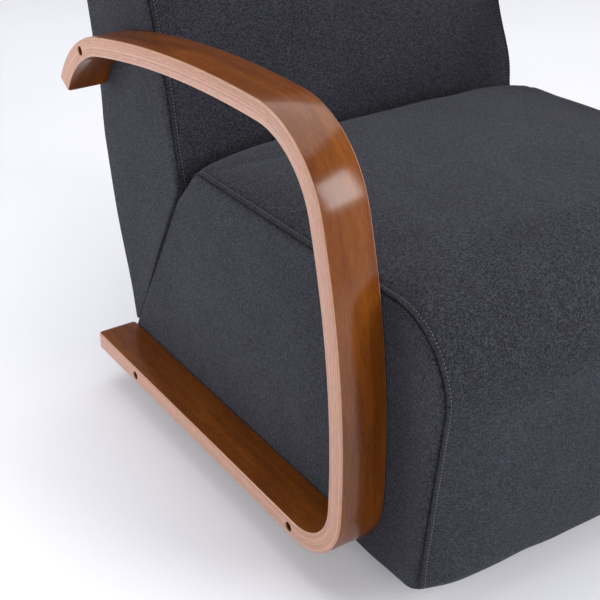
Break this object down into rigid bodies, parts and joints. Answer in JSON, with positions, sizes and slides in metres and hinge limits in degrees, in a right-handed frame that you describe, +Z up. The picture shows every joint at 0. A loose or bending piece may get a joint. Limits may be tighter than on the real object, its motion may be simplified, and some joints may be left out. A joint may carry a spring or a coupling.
{
  "type": "swivel accent chair",
  "caption": "Upholstered lounge chair with a wedge back and box seat held between bent plywood loop arms, turning on a hidden low swivel base.",
  "frame": {"origin": "on the floor, on the swivel axis, in the middle of the chair's width and depth", "axes": "+X to the sitter's left, -Y to the front, +Z up"},
  "size_m": [0.6806, 0.853, 0.8762],
  "materials": {
    "stained_plywood": "bent laminated plywood, warm brown stain, satin lacquer",
    "charcoal_fabric": "heathered charcoal upholstery weave with wadding behind it",
    "birch_plywood": "bare birch plywood and hardwood rails",
    "black_board": "black stained plywood",
    "zinc_steel": "zinc plated steel",
    "black_steel": "black oxide steel",
    "nylon": "black moulded nylon",
    "foam": "cream polyurethane foam",
    "felt": "grey needled felt",
    "dust_cloth": "black non-woven cloth",
    "webbing": "black elastic webbing",
    "hardboard": "brown hardboard"
  },
  "bodies": {
    "base": {"base_board": "black_board", "lower_swivel_plate": "zinc_steel", "king_pin": "black_steel", "king_pin_nut": "black_steel", "floor_glide_1": "nylon", "floor_glide_2": "nylon", "floor_glide_3": "nylon", "floor_glide_4": "nylon", "floor_glide_5": "nylon", "floor_glide_6": "nylon", "base_screw_1": "zinc_steel", "base_screw_2": "zinc_steel", "base_screw_3": "zinc_steel", "base_screw_4": "zinc_steel"},
    "ball_ring": {"ball_ring": "zinc_steel"},
    "seat": {"arm_right": "stained_plywood", "arm_left": "stained_plywood", "seat_cover": "charcoal_fabric", "back_cover": "charcoal_fabric", "seat_bottom_board": "birch_plywood", "seat_front_panel": "birch_plywood", "seat_rear_panel": "birch_plywood", "front_spring_rail": "birch_plywood", "rear_spring_rail": "birch_plywood", "back_lower_board": "birch_plywood", "back_top_rail": "birch_plywood", "seat_side_panel_right": "birch_plywood", "seat_side_panel_left": "birch_plywood", "back_side_board_right": "birch_plywood", "back_side_board_left": "birch_plywood", "upper_swivel_plate": "zinc_steel", "front_clip_bar": "zinc_steel", "rear_clip_bar": "zinc_steel", "seat_plate_bolt_1": "zinc_steel", "seat_plate_bolt_2": "zinc_steel", "seat_plate_bolt_3": "zinc_steel", "seat_plate_bolt_4": "zinc_steel", "seat_spring_1": "zinc_steel", "seat_spring_2": "zinc_steel", "seat_spring_3": "zinc_steel", "seat_spring_4": "zinc_steel", "seat_spring_5": "zinc_steel", "back_bolt_right": "black_steel", "back_bolt_left": "black_steel", "arm_bolt_right_1": "black_steel", "arm_bolt_right_2": "black_steel", "arm_bolt_right_3": "black_steel", "arm_bolt_left_1": "black_steel", "arm_bolt_left_2": "black_steel", "arm_bolt_left_3": "black_steel", "swivel_bush": "nylon", "seat_foam": "foam", "back_foam": "foam", "seat_felt_pad": "felt", "dust_cover": "dust_cloth", "back_webbing_1": "webbing", "back_webbing_2": "webbing", "back_webbing_3": "webbing", "back_webbing_4": "webbing", "back_hardboard": "hardboard"}
  },
  "joints": [
    {"name": "seat_swivel", "type": "hinge", "parent": "base", "child": "seat", "pos_m": [0, 0, 0.0496], "axis": [0, 0, 1], "continuous": true},
    {"name": "ball_ring_turn", "type": "hinge", "parent": "base", "child": "ball_ring", "pos_m": [0, 0, 0.0461], "axis": [0, 0, 1], "continuous": true}
  ],
  "couplings": [
    {"joint": "ball_ring_turn", "follows": "seat_swivel", "ratio": 0.5}
  ]
}
